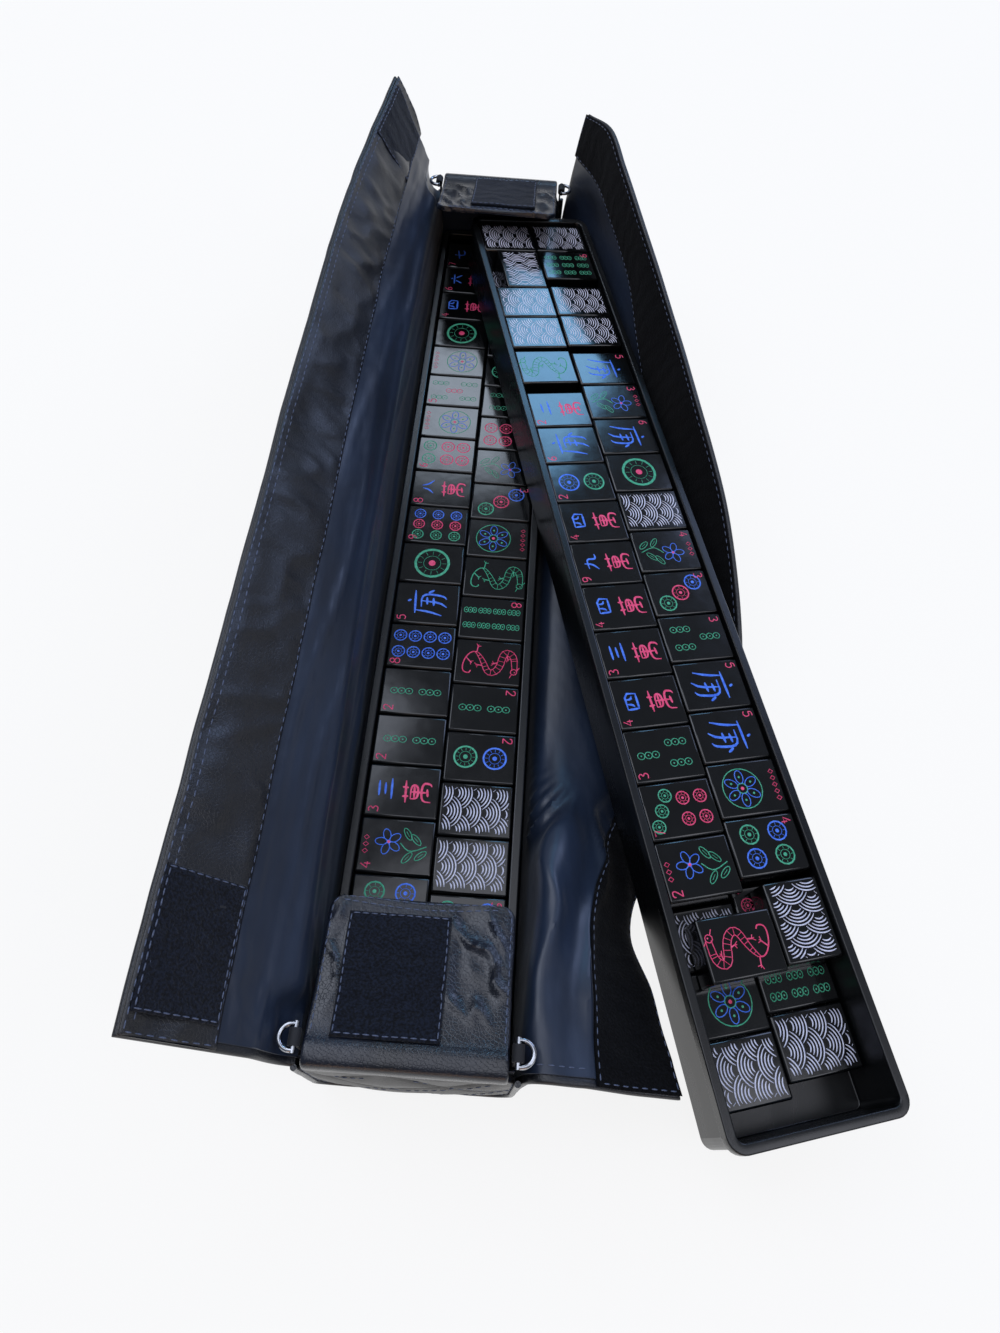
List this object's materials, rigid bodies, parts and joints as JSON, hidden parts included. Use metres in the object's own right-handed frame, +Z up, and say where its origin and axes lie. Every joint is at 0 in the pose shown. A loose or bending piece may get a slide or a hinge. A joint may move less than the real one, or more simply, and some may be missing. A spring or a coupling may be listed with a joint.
{
  "type": "mahjong case",
  "caption": "Long soft padded case lying open, with hinged flaps, corner rings and two long stacking tile trays, one lifted out and leaning across it.",
  "frame": {"origin": "middle of the case's flat underside, on the surface that it lies on", "axes": "+X across the case to the right, +Y along it from the near end to the far end, +Z up"},
  "size_m": [0.2581, 0.5178, 0.1207],
  "materials": {
    "case_skin": "quilted black imitation leather, soft sheen",
    "lining": "smooth black-navy nylon lining",
    "loop_pile": "fuzzy loop tape, matt",
    "board": "plain grey-brown stiffening board",
    "webbing": "woven webbing, matt",
    "ring_metal": "bright nickel plating",
    "tray_plastic": "black moulded plastic, satin to gloss",
    "tile_resin": "polished black resin, engraved and painted"
  },
  "bodies": {
    "case": {"case_base": "case_skin", "base_board": "board", "floor_lining": "lining", "left_wall": "case_skin", "right_wall": "case_skin", "near_wall": "case_skin", "far_wall": "case_skin", "left_lining": "lining", "right_lining": "lining", "near_lining": "lining", "far_lining": "lining", "corner_piping": "case_skin", "left_fold": "case_skin", "right_fold": "case_skin", "near_fold": "case_skin", "far_fold": "case_skin", "right_flap": "case_skin", "right_flap_lining": "lining", "right_loop_strip": "loop_pile", "ring_tabs": "webbing"},
    "left_flap": {"left_flap": "case_skin", "left_flap_lining": "lining", "left_facing": "case_skin", "left_patches": "loop_pile"},
    "near_flap": {"near_flap": "case_skin", "near_flap_patch": "loop_pile"},
    "far_flap": {"far_flap": "case_skin", "far_flap_patch": "loop_pile"},
    "lower_tray": {"lower_tray": "tray_plastic", "lower_deep_tiles": "tile_resin", "lower_covered_tiles": "tile_resin"},
    "lower_open_tiles": {"lower_open_tiles": "tile_resin"},
    "upper_tray": {"upper_tray": "tray_plastic"},
    "upper_deep_tiles": {"upper_deep_tiles": "tile_resin"},
    "upper_top_tiles": {"upper_top_tiles": "tile_resin"},
    "turned_far_tile": {"turned_far_tile": "tile_resin"},
    "dragon_tile": {"dragon_tile": "tile_resin"},
    "turned_near_tile": {"turned_near_tile": "tile_resin"},
    "ring_near_left": {"ring_near_left": "ring_metal"},
    "ring_near_right": {"ring_near_right": "ring_metal"},
    "ring_far_left": {"ring_far_left": "ring_metal"},
    "ring_far_right": {"ring_far_right": "ring_metal"}
  },
  "joints": [
    {"name": "left_flap_fold", "type": "hinge", "parent": "case", "child": "left_flap", "pos_m": [-0.04188, 0, 0.0654], "axis": [0, 1, 0], "range_deg": [-78, 40]},
    {"name": "near_flap_fold", "type": "hinge", "parent": "case", "child": "near_flap", "pos_m": [0, -0.2479, 0.0654], "axis": [1, 0, 0], "range_deg": [0, 200]},
    {"name": "far_flap_fold", "type": "hinge", "parent": "case", "child": "far_flap", "pos_m": [0, 0.2479, 0.0654], "axis": [-1, 0, 0], "range_deg": [0, 185]},
    {"name": "ring_near_left_swing", "type": "hinge", "parent": "case", "child": "ring_near_left", "pos_m": [-0.03707, -0.2413, 0.0672], "axis": [0, 1, 0], "range_deg": [0, 60]},
    {"name": "ring_near_right_swing", "type": "hinge", "parent": "case", "child": "ring_near_right", "pos_m": [0.03707, -0.2413, 0.0672], "axis": [0, -1, 0], "range_deg": [0, 60]},
    {"name": "ring_far_left_swing", "type": "hinge", "parent": "case", "child": "ring_far_left", "pos_m": [-0.03707, 0.2413, 0.0672], "axis": [0, 1, 0], "range_deg": [0, 60]},
    {"name": "ring_far_right_swing", "type": "hinge", "parent": "case", "child": "ring_far_right", "pos_m": [0.03707, 0.2413, 0.0672], "axis": [0, -1, 0], "range_deg": [0, 60]},
    {"name": "lower_tray_lift", "type": "slide", "parent": "case", "child": "lower_tray", "axis": [0, 0, 1], "range_m": [0, 0.004]},
    {"name": "lower_tiles_lift", "type": "slide", "parent": "lower_tray", "child": "lower_open_tiles", "axis": [0, 0, 1], "range_m": [0, 0.02]},
    {"name": "upper_tray_draw", "type": "slide", "parent": "lower_tray", "child": "upper_tray", "axis": [0.2557, -0.9616, 0.0996], "range_m": [0, 0.22]},
    {"name": "deep_tiles_lift", "type": "slide", "parent": "upper_tray", "child": "upper_deep_tiles", "axis": [0.1305, 0, 0.9914], "range_m": [0, 0.0045]},
    {"name": "top_tiles_lift", "type": "slide", "parent": "upper_deep_tiles", "child": "upper_top_tiles", "axis": [0.1305, 0, 0.9914], "range_m": [0, 0.022]},
    {"name": "turned_far_tile_lift", "type": "slide", "parent": "upper_deep_tiles", "child": "turned_far_tile", "axis": [0.1305, 0, 0.9914], "range_m": [0, 0.022]},
    {"name": "dragon_tile_lift", "type": "slide", "parent": "upper_deep_tiles", "child": "dragon_tile", "axis": [0.1305, 0, 0.9914], "range_m": [0, 0.022]},
    {"name": "turned_near_tile_lift", "type": "slide", "parent": "upper_deep_tiles", "child": "turned_near_tile", "axis": [0.1305, 0, 0.9914], "range_m": [0, 0.022]}
  ]
}
